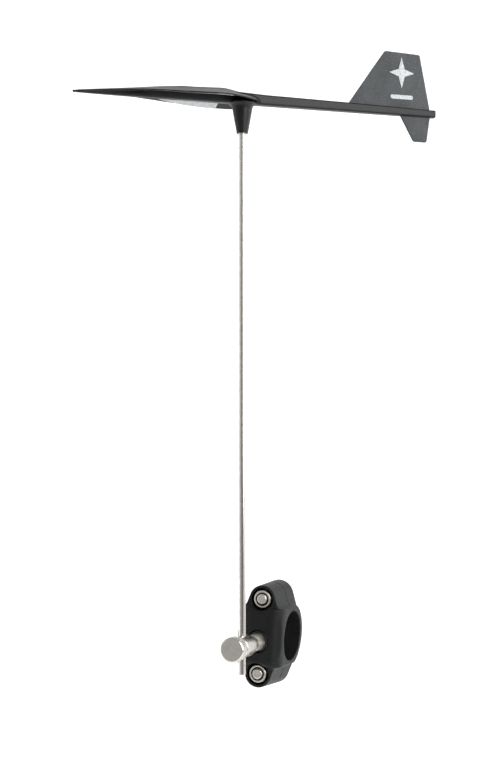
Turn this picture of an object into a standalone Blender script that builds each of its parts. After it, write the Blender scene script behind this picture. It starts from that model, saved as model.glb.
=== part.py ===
"""Dinghy wind indicator: a free-turning vane on a stainless rod, held by a swivelling tube clamp.

Origin: the centre of the clamp's tube bore. +Z runs up the rod, +X from the tube towards the
rod, +Y along the tube. All driving dimensions are in millimetres and become metres in the meshes.
"""
import math

import bmesh
import bpy
import numpy as np
from mathutils import Matrix, Vector

MM = 0.001
GAP = 0.3                      # clearance between pieces that touch

# Tube clamp, in its own frame: x from the tube to the rod, y along the tube, z from bolt to bolt
TUBE_RADIUS = 14.0
CLAMP_TURN = -3.8              # degrees that the clamp stands turned on its stud at rest
BOSS_HALF_WIDTH = 13.3
BOSS_HALF_HEIGHT = 16.5
BOSS_FRONT = 21.0
BOSS_EDGE = 3.5                # radius of the boss's upper and lower front edges
BOSS_SHOULDER = 15.6           # where the boss's flanks start curving in to its flat front
BOSS_FLAT = 3.5                # half width of the flat front
REAR_RADIUS = 18.2
LUG_FRONT = 16.8
LUG_REAR = -12.0
LUG_FRONT_RADIUS = 7.7         # the lugs taper towards their front faces, so that they leave the mould
LUG_REAR_RADIUS = 8.8
LUG_FLARE = 19.0               # degrees that each lug's flanks spread towards the middle
LUG_HALF_WIDTH = 12.9
BOLT_Z = 20.9
BOLT_RADIUS = 3.0
BOLT_HOLE_RADIUS = 3.25
BOLT_HEAD_FLATS = 10.0
BOLT_HEAD_HEIGHT = 4.0
BOLT_HEAD_SINK = 3.0
BOLT_END = 17.7
NUT_FLATS = 10.0
NUT_HEX_HEIGHT = 4.4
NUT_HEIGHT = 6.0
NUT_RECESS_RADIUS = 6.4
NUT_SEAT = 10.7
INSERT_HEIGHT = 1.3

# Swivel stud and rod holder, about the stud's axis
STUD_Z = -2.4
STUD_RADIUS = 2.5
STUD_HEAD_RADIUS = 4.2
STUD_END = 33.0
STUD_SEAT = 17.0
STUD_SEAT_RADIUS = 6.4
WASHER_RADIUS = 5.9
WASHER_THICKNESS = 2.0
STUD_NUT_FLATS = 8.5
STUD_NUT_LENGTH = 9.4
HOLDER_RADIUS = 6.1
HOLDER_NECK_RADIUS = 4.0
HOLDER_REAR = 36.8
HOLDER_FRONT = 50.6
KNOB_RADIUS = 6.8
KNOB_REAR = 52.6
KNOB_FRONT = 59.4
KNOB_TEETH = 30
SCREW_RADIUS = 2.5

# Rod and bearing: heights above the vane arm's flat underside
ROD_X = 43.6
ROD_RADIUS = 2.0
ROD_LOW_END = -17.9
ARM_UNDERSIDE = 295.5
ROD_TOP = -4.6
NEEDLE_TIP = -0.7
CLIP_HEIGHT = -11.0
BUSH_TOP = -12.6
CUP_BOTTOM = -2.0
CUP_TOP = 2.2

# Vane, in its own frame: s ahead of the rod towards the tip, u to port, h above the underside
VANE_TURN = -51.0              # degrees from the clamp's +X to the way that the tip points
TIP = 95.1
TAIL = -116.2
FIN_THICKNESS = 1.2
FIN_SLOT = 1.8
SKIN = 1.3
HUB_RADIUS = 3.05
HUB_LOW = -16.5
HUB_FLARE = (                   # radius, height of the hub as it spreads into the wings
    (5.1, -5.1), (5.55, -2.4), (5.9, -1.3), (6.6, -0.5), (7.6, 0.1), (7.6, 0.6), (3.5, 4.6),
)
PRINT_THICKNESS = 0.15
STICK_GAP = 0.1

# s, half width, bottom, top of the spine that runs from the tail to the tip
SPINE = (
    (TAIL, 2.1, 0.0, 4.2), (-62.9, 2.5, 0.0, 5.15), (-13.0, 2.8, 0.0, 5.8), (0.0, 2.8, 0.0, 6.4),
    (3.0, 2.8, 0.0, 6.5), (6.0, 2.8, 0.0, 7.2), (12.0, 2.7, 0.0, 7.9), (35.0, 2.4, 0.0, 7.2),
    (57.0, 1.9, 0.0, 4.9), (76.5, 1.4, 0.0, 3.0), (TIP, 0.6, 0.15, 1.25),
)
# s, half width, edge height, ridge height of the drooped wings
WINGS = (
    (-9.5, 2.9, 1.4, 4.6), (-6.5, 8.0, 0.7, 5.6), (-3.0, 12.4, 0.15, 6.0), (0.0, 14.2, 0.1, 6.2),
    (3.0, 15.7, 0.2, 6.5), (6.0, 16.8, 0.4, 7.65), (9.0, 17.3, 0.5, 8.4), (12.0, 17.6, 0.65, 8.56),
    (19.0, 17.5, 0.85, 8.25), (27.0, 16.2, 0.9, 7.95), (34.0, 14.6, 1.05, 7.95), (46.0, 12.3, 1.45, 6.95),
    (57.0, 9.9, 1.75, 5.65), (68.0, 7.1, 1.65, 4.25), (80.0, 4.2, 1.25, 2.85), (92.0, 1.1, 0.6, 1.55),
)
FIN_OUTLINE = (
    (-62.9, 5.0), (-79.4, 28.5), (-85.4, 36.8), (-106.9, 36.0), (-113.0, 4.7), (-113.2, 0.0),
    (-111.0, -14.5), (-102.8, -14.4), (-94.8, 0.0), (-94.8, 2.6), (-64.6, 2.6),
)
STAR_CENTRE = (-95.5, 24.7)
STAR_RADIUS = 9.0
BAR_CENTRE = (-95.5, 10.7)
BAR_SIZE = (14.0, 2.4)
TAPE_NOSE = 57.0
TAPE_REAR = 10.5
WEIGHT_SPAN = (38.0, 82.0)
WEIGHT_HEIGHT = 2.0
WEIGHT_HALF_WIDTH = 0.65


def material(name, colour, roughness, metallic=0.0):
    """A plain Principled finish."""
    finish = bpy.data.materials.new(name)
    finish.use_nodes = True
    shader = finish.node_tree.nodes["Principled BSDF"]
    shader.inputs["Base Color"].default_value = (*colour, 1.0)
    shader.inputs["Roughness"].default_value = roughness
    shader.inputs["Metallic"].default_value = metallic
    return finish


def empty(name, location=(0.0, 0.0, 0.0), turn=None):
    """A frame that other pieces hang from; turn is (angle in degrees, axis letter)."""
    frame = bpy.data.objects.new(name, None)
    bpy.context.scene.collection.objects.link(frame)
    frame.location = Vector(location) * MM
    if turn is not None:
        frame.rotation_euler = Matrix.Rotation(math.radians(turn[0]), 3, turn[1]).to_euler()
    return frame


def piece(name, mesh, finish, parent, location=(0.0, 0.0, 0.0)):
    """Turn a bmesh in millimetres into a named object in metres."""
    bmesh.ops.scale(mesh, vec=(MM, MM, MM), verts=mesh.verts)
    bmesh.ops.recalc_face_normals(mesh, faces=mesh.faces)
    data = bpy.data.meshes.new(name)
    mesh.to_mesh(data)
    mesh.free()
    data.materials.append(finish)
    data.shade_smooth()
    data.set_sharp_from_angle(angle=math.radians(30.0))
    item = bpy.data.objects.new(name, data)
    bpy.context.scene.collection.objects.link(item)
    item.parent = parent
    item.location = Vector(location) * MM
    return item


def combine(target, operation, tool):
    """Add or take away one closed shape from a piece, and keep the tool as a hidden guide."""
    tool.hide_render = True
    tool.display_type = "WIRE"
    step = target.modifiers.new(tool.name, "BOOLEAN")
    step.operation = operation
    step.object = tool
    step.solver = "EXACT"


def skin_rings(rings, closed_ends=True):
    """Join rings that have the same number of points into one closed shape."""
    mesh = bmesh.new()
    rows = [[mesh.verts.new(point) for point in ring] for ring in rings]
    count = len(rows[0])
    for row, following in zip(rows, rows[1:]):
        for i in range(count):
            j = (i + 1) % count
            mesh.faces.new((row[i], row[j], following[j], following[i]))
    if closed_ends:
        mesh.faces.new(rows[0])
        mesh.faces.new(rows[-1])
    else:
        for i in range(count):
            j = (i + 1) % count
            mesh.faces.new((rows[-1][i], rows[-1][j], rows[0][j], rows[0][i]))
    bmesh.ops.triangulate(mesh, faces=[face for face in mesh.faces if len(face.verts) == 4 and bent(face)])
    bmesh.ops.recalc_face_normals(mesh, faces=mesh.faces)
    return mesh


def bent(face):
    """Whether a four-cornered face is out of plane."""
    a, b, c, d = [vert.co for vert in face.verts]
    return abs((b - a).cross(c - a).dot(d - a)) > 1e-5


def turned(profile, segments=32, axis="Z", ring=False):
    """Turn a profile of (height, radius) about an axis; a ring's profile closes on itself."""
    angles = np.arange(segments) * 2.0 * math.pi / segments
    rings = [[(r * math.cos(t), r * math.sin(t), z) for t in angles] for z, r in profile]
    mesh = skin_rings(rings, closed_ends=not ring)
    if axis == "X":
        bmesh.ops.rotate(mesh, verts=mesh.verts, matrix=Matrix.Rotation(math.radians(90.0), 3, "Y"))
    elif axis == "Y":
        bmesh.ops.rotate(mesh, verts=mesh.verts, matrix=Matrix.Rotation(math.radians(-90.0), 3, "X"))
    return mesh


def slab(outline, low, high, axis="X", round_edges=0.0, round_steps=2):
    """Push an outline along an axis: (y, z) points for X, (x, z) for Y, (x, y) for Z."""
    place = {"X": lambda p, d: (d, p[0], p[1]), "Y": lambda p, d: (p[0], d, p[1]),
             "Z": lambda p, d: (p[0], p[1], d)}[axis]
    mesh = skin_rings([[place(point, depth) for point in outline] for depth in (low, high)])
    if round_edges > 0.0:
        index = "XYZ".index(axis)
        rim = [e for e in mesh.edges if abs(e.verts[0].co[index] - e.verts[1].co[index]) < 1e-6]
        bmesh.ops.bevel(mesh, geom=rim, offset=round_edges, segments=round_steps, affect="EDGES",
                        profile=0.5)
    return mesh


def arc(centre, radius, start, end, steps):
    """Points along an arc, angles in degrees."""
    angles = np.radians(np.linspace(start, end, steps + 1))
    return [(centre[0] + radius * math.cos(t), centre[1] + radius * math.sin(t)) for t in angles]


def hexagon(flats, along, height, axis_turn=0.0, chamfer=0.5):
    """A hex prism along X from `along`, its corners chamfered at the far end."""
    corner = flats / math.sqrt(3.0)
    angles = np.radians(np.arange(12) * 30.0 + axis_turn)
    reach = np.where(np.arange(12) % 2 == 0, corner, flats / 2.0)
    inner = np.minimum(reach, corner - chamfer)

    def ring(x, radii):
        return [(x, r * math.cos(t), r * math.sin(t)) for r, t in zip(radii, angles)]

    return skin_rings([ring(along, reach), ring(along + height - chamfer * 0.6, reach),
                       ring(along + height, inner)])


def drilled(target, name, radius, low, high, centre=(0.0, 0.0), segments=32):
    """Drill a round hole along X through a piece of the clamp or the holder."""
    tool = piece(name, turned([(low, radius), (high, radius)], segments, "X"),
                 target.data.materials[0], target.parent, (0.0, centre[0], centre[1]))
    combine(target, "DIFFERENCE", tool)


def lug_ring(x):
    """The lugs' outline at x: two round ends whose flanks spread towards the clamp's middle."""
    share = (x - LUG_REAR) / (LUG_FRONT - LUG_REAR)
    radius = LUG_REAR_RADIUS + share * (LUG_FRONT_RADIUS - LUG_REAR_RADIUS)
    flare = math.radians(LUG_FLARE)
    top = arc((0.0, BOLT_Z), radius, LUG_FLARE, 180.0 - LUG_FLARE, 14)
    fall = (LUG_HALF_WIDTH - radius * math.cos(flare)) / math.tan(flare)
    corner = BOLT_Z + radius * math.sin(flare) - fall
    half = top + [(-LUG_HALF_WIDTH, corner)]
    return [(x, y, z) for y, z in half + [(-y, -z) for y, z in half]]


def boss_outline(half_width, flat, shoulder, steps):
    """The clamp's middle from the split line to the front: a flat, then an arc back to each flank."""
    across = half_width - flat
    back = BOSS_FRONT - shoulder
    radius = (across ** 2 + back ** 2) / (2.0 * back)
    reach = math.degrees(math.asin(across / radius))
    upper = arc((BOSS_FRONT - radius, flat), radius, 0.0, reach, steps)
    lower = [(x, -y) for x, y in reversed(upper)]
    split = GAP / 2.0
    return lower + upper + [(split, half_width), (split, -half_width)]


def build_clamp(frame, rear_frame, nylon, steel, plain_nylon, black):
    """Both halves, their bolts and lock nuts, and the headed stud."""
    split = GAP / 2.0
    front = piece("clamp_front", skin_rings([lug_ring(split), lug_ring(LUG_FRONT)]), nylon, frame)
    side_view = boss_outline(BOSS_HALF_HEIGHT, BOSS_HALF_HEIGHT - BOSS_EDGE, BOSS_FRONT - BOSS_EDGE, 6)
    top_view = boss_outline(BOSS_HALF_WIDTH, BOSS_FLAT, BOSS_SHOULDER, 10)
    boss = piece("boss_side_view", slab(side_view, -20.0, 20.0, "Y"), nylon, frame)
    combine(boss, "INTERSECT", piece("boss_top_view", slab(top_view, -25.0, 25.0, "Z"), nylon, frame))
    combine(front, "UNION", boss)

    rear = piece("clamp_rear", skin_rings([lug_ring(LUG_REAR), lug_ring(-split)]), nylon, rear_frame)
    half_angle = math.degrees(math.asin(BOSS_HALF_HEIGHT / REAR_RADIUS))
    back = [(-split, -BOSS_HALF_HEIGHT), (-split, BOSS_HALF_HEIGHT)]
    back += arc((0.0, 0.0), REAR_RADIUS, 180.0 - half_angle, 180.0 + half_angle, 22)
    combine(rear, "UNION", piece("rear_shape", slab(back, -BOSS_HALF_WIDTH, BOSS_HALF_WIDTH, "Y", 0.8),
                                 nylon, rear_frame))

    for half in (front, rear):
        bore = turned([(-20.0, TUBE_RADIUS), (20.0, TUBE_RADIUS)], 64, "Y")
        combine(half, "DIFFERENCE", piece(half.name + "_bore", bore, nylon, half.parent))

    for label, z in (("upper", BOLT_Z), ("lower", -BOLT_Z)):
        drilled(front, "front_hole_" + label, BOLT_HOLE_RADIUS, -3.0, 30.0, (0.0, z))
        drilled(front, "recess_" + label, NUT_RECESS_RADIUS, NUT_SEAT, 30.0, (0.0, z))
        drilled(rear, "rear_hole_" + label, BOLT_HOLE_RADIUS, -30.0, 3.0, (0.0, z))
        seat = LUG_REAR + BOLT_HEAD_SINK
        pocket = hexagon(BOLT_HEAD_FLATS + 2.0 * GAP, LUG_REAR - 8.0, BOLT_HEAD_SINK + 8.0, 0.0, 0.001)
        combine(rear, "DIFFERENCE", piece("pocket_" + label, pocket, nylon, rear_frame, (0.0, 0.0, z)))
        make_bolt(label, z, seat, steel, rear_frame)
        make_lock_nut(label, z, steel, plain_nylon, frame)

    drilled(front, "stud_hole", STUD_RADIUS + GAP, 5.0, 30.0, (0.0, STUD_Z))
    drilled(front, "stud_seat", STUD_SEAT_RADIUS, STUD_SEAT, 30.0, (0.0, STUD_Z))
    drilled(front, "stud_pocket", STUD_HEAD_RADIUS + GAP, 5.0, TUBE_RADIUS + 2.2, (0.0, STUD_Z))
    stud = turned([(TUBE_RADIUS + 0.5, STUD_HEAD_RADIUS), (TUBE_RADIUS + 1.9, STUD_HEAD_RADIUS),
                   (TUBE_RADIUS + 1.9, STUD_RADIUS), (STUD_END - 0.4, STUD_RADIUS),
                   (STUD_END, STUD_RADIUS - 0.4)], 32, "X")
    piece("swivel_stud", stud, steel, frame, (0.0, 0.0, STUD_Z))
    low = STUD_SEAT + 0.15
    inner = STUD_RADIUS + GAP
    edge = 0.25
    ring = [(low, inner), (low, WASHER_RADIUS - edge), (low + edge, WASHER_RADIUS),
            (low + WASHER_THICKNESS - edge, WASHER_RADIUS), (low + WASHER_THICKNESS, WASHER_RADIUS - edge),
            (low + WASHER_THICKNESS, inner)]
    piece("stud_washer", turned(ring, 40, "X", ring=True), black, frame, (0.0, 0.0, STUD_Z))


def make_bolt(label, z, seat, steel, frame):
    """A hex-head bolt whose head sits in the rear half and whose end shows past its lock nut."""
    under_head = seat - 0.1
    bolt = piece("bolt_" + label, hexagon(BOLT_HEAD_FLATS, 0.0, BOLT_HEAD_HEIGHT, 0.0, 0.6), steel, frame,
                 (0.0, 0.0, z))
    bolt.data.transform(Matrix.Translation((under_head * MM, 0.0, 0.0)) @ Matrix.Scale(-1.0, 4, (1, 0, 0)))
    bolt.data.flip_normals()
    shank = turned([(under_head - 0.5, BOLT_RADIUS), (BOLT_END - 0.7, BOLT_RADIUS),
                    (BOLT_END, BOLT_RADIUS - 0.7)], 32, "X")
    combine(bolt, "UNION", piece("shank_" + label, shank, steel, frame, (0.0, 0.0, z)))


def make_lock_nut(label, z, steel, plain_nylon, frame):
    """A hex nut with a round collar that holds a nylon ring."""
    seat = NUT_SEAT + 0.15
    top = seat + NUT_HEIGHT
    nut = piece("nut_" + label, hexagon(NUT_FLATS, seat, NUT_HEX_HEIGHT, 15.0, 0.7), steel, frame,
                (0.0, 0.0, z))
    collar_radius = NUT_FLATS / 2.0 - 0.03
    collar = turned([(seat + 1.0, collar_radius), (top - 0.3, collar_radius), (top, collar_radius - 0.3)],
                    32, "X")
    combine(nut, "UNION", piece("collar_" + label, collar, steel, frame, (0.0, 0.0, z)))
    drilled(nut, "thread_" + label, BOLT_RADIUS + 0.15, seat - 1.0, top + 1.0, (0.0, z))
    groove = turned([(top - 1.0 - INSERT_HEIGHT, BOLT_RADIUS + 0.05),
                     (top - 1.0 - INSERT_HEIGHT, BOLT_RADIUS + 0.75),
                     (top - 0.55, BOLT_RADIUS + 0.75), (top - 0.55, BOLT_RADIUS + 0.05)], 32, "X", ring=True)
    combine(nut, "DIFFERENCE", piece("groove_" + label, groove, steel, frame, (0.0, 0.0, z)))
    ring = turned([(top - 0.9 - INSERT_HEIGHT, BOLT_RADIUS + 0.12),
                   (top - 0.9 - INSERT_HEIGHT, BOLT_RADIUS + 0.65),
                   (top - 0.65, BOLT_RADIUS + 0.65), (top - 0.65, BOLT_RADIUS + 0.12)], 32, "X", ring=True)
    piece("nut_insert_" + label, ring, plain_nylon, frame, (0.0, 0.0, z))


def build_holder(frame, pad_frame, screw_frame, steel, plain_nylon):
    """The cross-drilled barrel on the stud, its nut, and the thumb screw with its pad."""
    nut_rear = STUD_SEAT + WASHER_THICKNESS + 0.35
    nut = piece("stud_nut", hexagon(STUD_NUT_FLATS, nut_rear, STUD_NUT_LENGTH, 0.0, 0.4), steel, frame)
    drilled(nut, "stud_nut_thread", STUD_RADIUS + 0.1, 10.0, 40.0)

    rear = nut_rear + STUD_NUT_LENGTH + 0.15
    body = turned([(rear, HOLDER_NECK_RADIUS), (HOLDER_REAR, HOLDER_NECK_RADIUS),
                   (HOLDER_REAR, HOLDER_RADIUS - 0.5), (HOLDER_REAR + 0.5, HOLDER_RADIUS),
                   (HOLDER_FRONT - 0.5, HOLDER_RADIUS), (HOLDER_FRONT, HOLDER_RADIUS - 0.5)], 40, "X")
    holder = piece("rod_holder", body, steel, frame)
    drilled(holder, "holder_thread", STUD_RADIUS + 0.1, 20.0, STUD_END + 1.0)
    drilled(holder, "screw_thread", SCREW_RADIUS + 0.1, ROD_X, 60.0)
    across = turned([(-10.0, ROD_RADIUS + 0.1), (10.0, ROD_RADIUS + 0.1)], 32)
    combine(holder, "DIFFERENCE", piece("rod_hole", across, steel, frame, (ROD_X, 0.0, 0.0)))

    pad = turned([(ROD_X + ROD_RADIUS + 0.12, SCREW_RADIUS - 0.4), (ROD_X + 3.2, SCREW_RADIUS - 0.4)], 24, "X")
    piece("pressure_pad", pad, plain_nylon, pad_frame)

    teeth = KNOB_TEETH * 4
    angles = np.arange(teeth) * 2.0 * math.pi / teeth
    depth = np.where(np.arange(teeth) % 4 < 2, 0.0, 0.28)

    def rim(x, radius):
        return [(x, (radius - d) * math.cos(t), (radius - d) * math.sin(t)) for t, d in zip(angles, depth)]

    def smooth(x, radius):
        return [(x, radius * math.cos(t), radius * math.sin(t)) for t in angles]

    knob = skin_rings([smooth(KNOB_REAR, KNOB_RADIUS - 0.9), rim(KNOB_REAR + 0.6, KNOB_RADIUS),
                       rim(KNOB_FRONT - 0.6, KNOB_RADIUS), smooth(KNOB_FRONT, KNOB_RADIUS - 0.9)])
    screw = piece("thumb_screw", knob, steel, screw_frame)
    stem = turned([(ROD_X + 3.35, SCREW_RADIUS - 0.4), (ROD_X + 3.75, SCREW_RADIUS),
                   (KNOB_REAR + 1.0, SCREW_RADIUS)], 32, "X")
    combine(screw, "UNION", piece("screw_stem", stem, steel, screw_frame))


def build_rod(frame, low_end, underside, steel, hard_steel):
    """The rod, its needle point and the clip that keeps the vane on."""
    top = underside + ROD_TOP
    clip = underside + CLIP_HEIGHT
    groove = ROD_RADIUS - 0.45
    half = 0.45
    profile = [(low_end, ROD_RADIUS - 0.5), (low_end + 0.5, ROD_RADIUS), (clip - half, ROD_RADIUS),
               (clip - half, groove), (clip + half, groove), (clip + half, ROD_RADIUS),
               (top - 0.4, ROD_RADIUS), (top, ROD_RADIUS - 0.4)]
    rod = piece("rod", turned(profile, 32), steel, frame)
    hole = turned([(top - 4.2, 0.7), (top + 1.0, 0.7)], 16)
    combine(rod, "DIFFERENCE", piece("needle_hole", hole, steel, frame))
    tip = underside + NEEDLE_TIP
    needle = turned([(top - 4.0, 0.6), (tip - 1.6, 0.6), (tip, 0.06)], 16)
    piece("pivot_needle", needle, hard_steel, frame)
    ring = [(clip - 0.3, groove + 0.1), (clip - 0.3, ROD_RADIUS + 0.3), (clip + 0.3, ROD_RADIUS + 0.3),
            (clip + 0.3, groove + 0.1)]
    piece("retaining_clip", turned(ring, 32, ring=True), hard_steel, frame)


def spine_shape():
    """Octagon sections along the arm, from the tail to the tip."""
    rings = []
    for s, half, low, high in SPINE:
        cut = 0.3 * min(2.0 * half, high - low)
        rings.append([(s, half, low + cut), (s, half, high - cut), (s, half - cut, high),
                      (s, cut - half, high), (s, -half, high - cut), (s, -half, low + cut),
                      (s, cut - half, low), (s, half - cut, low)])
    return skin_rings(rings)


def wing_shape():
    """A thin roof over the keel: ridge on the arm's centre line, edges drooping to both sides."""
    rings = []
    for s, half, edge, ridge in WINGS:
        skin = min(SKIN, 0.5 * ridge)
        lip = 0.6 * skin
        rings.append([(s, half, edge), (s, half, edge + lip), (s, 0.0, ridge), (s, -half, edge + lip),
                      (s, -half, edge), (s, 0.0, ridge - skin)])
    return skin_rings(rings)


def wing_underside(s, u):
    """Height of the wing's underside at s ahead of the rod and u off the centre line."""
    rows = np.array(WINGS)
    half = np.interp(s, rows[:, 0], rows[:, 1])
    edge = np.interp(s, rows[:, 0], rows[:, 2])
    ridge = np.interp(s, rows[:, 0], rows[:, 3])
    inner = ridge - min(SKIN, 0.5 * ridge)
    return inner + (edge - inner) * u / half


def tape_shape(side):
    """A long triangle of tape under one wing, following the wing's underside."""
    rows = np.array(WINGS)
    stations = [TAPE_REAR] + [s for s in rows[:, 0] if TAPE_REAR < s < TAPE_NOSE]
    rings = []
    for s in stations + [TAPE_NOSE]:
        half = np.interp(s, rows[:, 0], rows[:, 1])
        keel = np.interp(s, [row[0] for row in SPINE], [row[1] for row in SPINE])
        inner = keel + 0.6
        reach = (s - TAPE_NOSE) / (TAPE_REAR - TAPE_NOSE)
        outer = inner + 1.0 + (half - 0.5 - inner - 1.0) * (1.0 - (1.0 - reach) ** 5)
        ring = []
        for u, drop in ((inner, STICK_GAP), (outer, STICK_GAP), (outer, STICK_GAP + PRINT_THICKNESS),
                        (inner, STICK_GAP + PRINT_THICKNESS)):
            ring.append((s, side * u, wing_underside(s, u) - drop * 1.3))
        rings.append(ring)
    return skin_rings(rings)


def build_vane(frame, plastic, reflective, ink, dark_steel, hard_steel, plain_nylon):
    """The arm with wings and hub, the fin, tapes, prints, bearing parts and balance weight."""
    arm = piece("vane_arm", spine_shape(), plastic, frame)
    combine(arm, "UNION", piece("wing_shape", wing_shape(), plastic, frame))
    hub = [(HUB_LOW, HUB_RADIUS - 0.35), (HUB_LOW + 0.35, HUB_RADIUS)]
    hub += [(z, r) for r, z in HUB_FLARE]
    combine(arm, "UNION", piece("hub_shape", turned(hub, 40), plastic, frame))
    bore = [(HUB_LOW - 2.0, 2.7), (CUP_BOTTOM, 2.7), (CUP_BOTTOM, 2.1), (CUP_TOP + 0.2, 2.1)]
    combine(arm, "DIFFERENCE", piece("hub_bore", turned(bore, 32), plastic, frame))
    combine(arm, "DIFFERENCE", piece("fin_slot", slab(grown_fin_root(), -FIN_SLOT / 2.0, FIN_SLOT / 2.0, "Y"),
                                     plastic, frame))
    low, high = WEIGHT_SPAN
    pocket_half = WEIGHT_HALF_WIDTH + 0.15
    pocket = [(low - 0.2, -2.0), (high + 0.2, -2.0), (high + 0.2, WEIGHT_HEIGHT + 0.2),
              (low - 0.2, WEIGHT_HEIGHT + 0.2)]
    combine(arm, "DIFFERENCE", piece("weight_pocket", slab(pocket, -pocket_half, pocket_half, "Y"),
                                     plastic, frame))
    bar = [(low, 0.1), (high, 0.1), (high, WEIGHT_HEIGHT), (low, WEIGHT_HEIGHT)]
    piece("nose_weight", slab(bar, -WEIGHT_HALF_WIDTH, WEIGHT_HALF_WIDTH, "Y"), dark_steel, frame)

    piece("tail_fin", slab(FIN_OUTLINE, -FIN_THICKNESS / 2.0, FIN_THICKNESS / 2.0, "Y"), plastic, frame)
    for label, side in (("port", 1.0), ("starboard", -1.0)):
        piece("reflector_" + label, tape_shape(side), reflective, frame)
        near = side * (FIN_THICKNESS / 2.0 + STICK_GAP)
        far = near + side * PRINT_THICKNESS
        low, high = min(near, far), max(near, far)
        piece("star_print_" + label, slab(star_outline(), low, high, "Y"), ink, frame)
        piece("bar_print_" + label, slab(bar_outline(), low, high, "Y"), ink, frame)

    cup = [(CUP_BOTTOM + 0.1, 1.2), (CUP_BOTTOM + 0.1, 1.9), (CUP_TOP, 1.9), (CUP_TOP, 0.35),
           (-0.3, 0.35), (-0.5, 0.25)]
    piece("pivot_cup", turned(cup, 32, ring=True), hard_steel, frame)
    bush = [(HUB_LOW + 0.2, ROD_RADIUS + 0.09), (HUB_LOW + 0.2, 2.6), (BUSH_TOP, 2.6),
            (BUSH_TOP, ROD_RADIUS + 0.09)]
    piece("guide_bush", turned(bush, 32, ring=True), plain_nylon, frame)


def grown_fin_root():
    """The part of the fin that lies in the boom, with clearance round it."""
    return [(-64.9, 2.35), (-94.5, 2.35), (-94.5, -2.0), (-113.5, -2.0), (-113.4, 8.0), (-62.4, 8.0),
            (-62.4, 4.9)]


def star_outline():
    """A four-pointed star with slim points."""
    points = []
    for k in range(8):
        angle = math.radians(90.0 + 45.0 * k)
        radius = STAR_RADIUS if k % 2 == 0 else 0.34 * STAR_RADIUS
        points.append((STAR_CENTRE[0] + 0.86 * radius * math.cos(angle),
                       STAR_CENTRE[1] + radius * math.sin(angle)))
    return points


def bar_outline():
    """A short bar with round ends."""
    reach = (BAR_SIZE[0] - BAR_SIZE[1]) / 2.0
    right = arc((BAR_CENTRE[0] + reach, BAR_CENTRE[1]), BAR_SIZE[1] / 2.0, -90.0, 90.0, 8)
    left = arc((BAR_CENTRE[0] - reach, BAR_CENTRE[1]), BAR_SIZE[1] / 2.0, 90.0, 270.0, 8)
    return right + left


def main():
    """Clear the scene and build every piece."""
    for item in list(bpy.data.objects):
        bpy.data.objects.remove(item, do_unlink=True)

    nylon = material("glass-filled nylon, black", (0.035, 0.036, 0.036), 0.6)
    plastic = material("moulded ABS, black", (0.030, 0.031, 0.033), 0.5)
    black = material("acetal, black", (0.012, 0.012, 0.012), 0.4)
    steel = material("stainless steel, turned", (0.62, 0.60, 0.57), 0.25, 1.0)
    hard_steel = material("hardened steel", (0.45, 0.45, 0.46), 0.3, 1.0)
    plain_nylon = material("natural nylon", (0.75, 0.72, 0.65), 0.4)
    reflective = material("silver reflective tape", (0.42, 0.43, 0.44), 0.35, 0.4)
    ink = material("pad print, light grey", (0.55, 0.57, 0.58), 0.5)
    dark_steel = material("blackened steel", (0.05, 0.05, 0.05), 0.45, 1.0)

    turn = math.radians(CLAMP_TURN)
    stud_y = -STUD_Z * math.sin(turn)
    stud_z = STUD_Z * math.cos(turn)

    clamp_frame = empty("clamp_frame", turn=(CLAMP_TURN, "X"))
    rear_frame = empty("rear_frame", turn=(CLAMP_TURN, "X"))
    build_clamp(clamp_frame, rear_frame, nylon, steel, plain_nylon, black)

    swivel_axis = empty("swivel_axis", (0.0, stud_y, stud_z))
    pad_axis = empty("pad_axis", (0.0, stud_y, stud_z))
    screw_axis = empty("screw_axis", (0.0, stud_y, stud_z))
    build_holder(swivel_axis, pad_axis, screw_axis, steel, plain_nylon)

    rod_axis = empty("rod_axis", (ROD_X, stud_y, 0.0))
    build_rod(rod_axis, ROD_LOW_END, ARM_UNDERSIDE, steel, hard_steel)

    vane_axis = empty("vane_axis", (ROD_X, stud_y, ARM_UNDERSIDE), turn=(VANE_TURN, "Z"))
    build_vane(vane_axis, plastic, reflective, ink, dark_steel, hard_steel, plain_nylon)


main()
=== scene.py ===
import math

import bmesh
import bpy
import numpy as np
from mathutils import Matrix, Vector


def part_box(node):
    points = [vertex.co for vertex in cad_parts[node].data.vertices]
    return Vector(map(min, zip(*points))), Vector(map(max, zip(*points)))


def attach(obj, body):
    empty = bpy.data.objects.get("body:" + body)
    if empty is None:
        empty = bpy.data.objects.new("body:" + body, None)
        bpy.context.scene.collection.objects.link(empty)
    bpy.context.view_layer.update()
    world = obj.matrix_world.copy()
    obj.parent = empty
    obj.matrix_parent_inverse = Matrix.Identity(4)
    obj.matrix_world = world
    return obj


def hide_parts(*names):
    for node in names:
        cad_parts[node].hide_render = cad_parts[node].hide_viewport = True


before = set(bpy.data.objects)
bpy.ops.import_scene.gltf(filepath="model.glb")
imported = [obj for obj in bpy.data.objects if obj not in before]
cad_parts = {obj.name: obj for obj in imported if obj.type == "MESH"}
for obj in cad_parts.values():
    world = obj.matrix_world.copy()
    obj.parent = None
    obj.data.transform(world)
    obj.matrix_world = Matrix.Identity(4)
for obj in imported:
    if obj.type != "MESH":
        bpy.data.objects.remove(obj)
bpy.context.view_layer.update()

# A dinghy's wind indicator: a free-turning vane on a stainless rod, held by a swivelling tube clamp.
# Lengths are in millimetres until a piece is placed, and become metres there.
MM = 0.001
GAP = 0.3                      # clearance between pieces that touch
SEAT_GAP = 0.15                # clearance under a nut or washer on its seat
FIT = 0.1                      # clearance all round a stud, screw or rod in its hole
CORE = 0.01                    # radius that stands for a turned piece's axis
HERE = (0.0, 0.0, 0.0)

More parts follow.
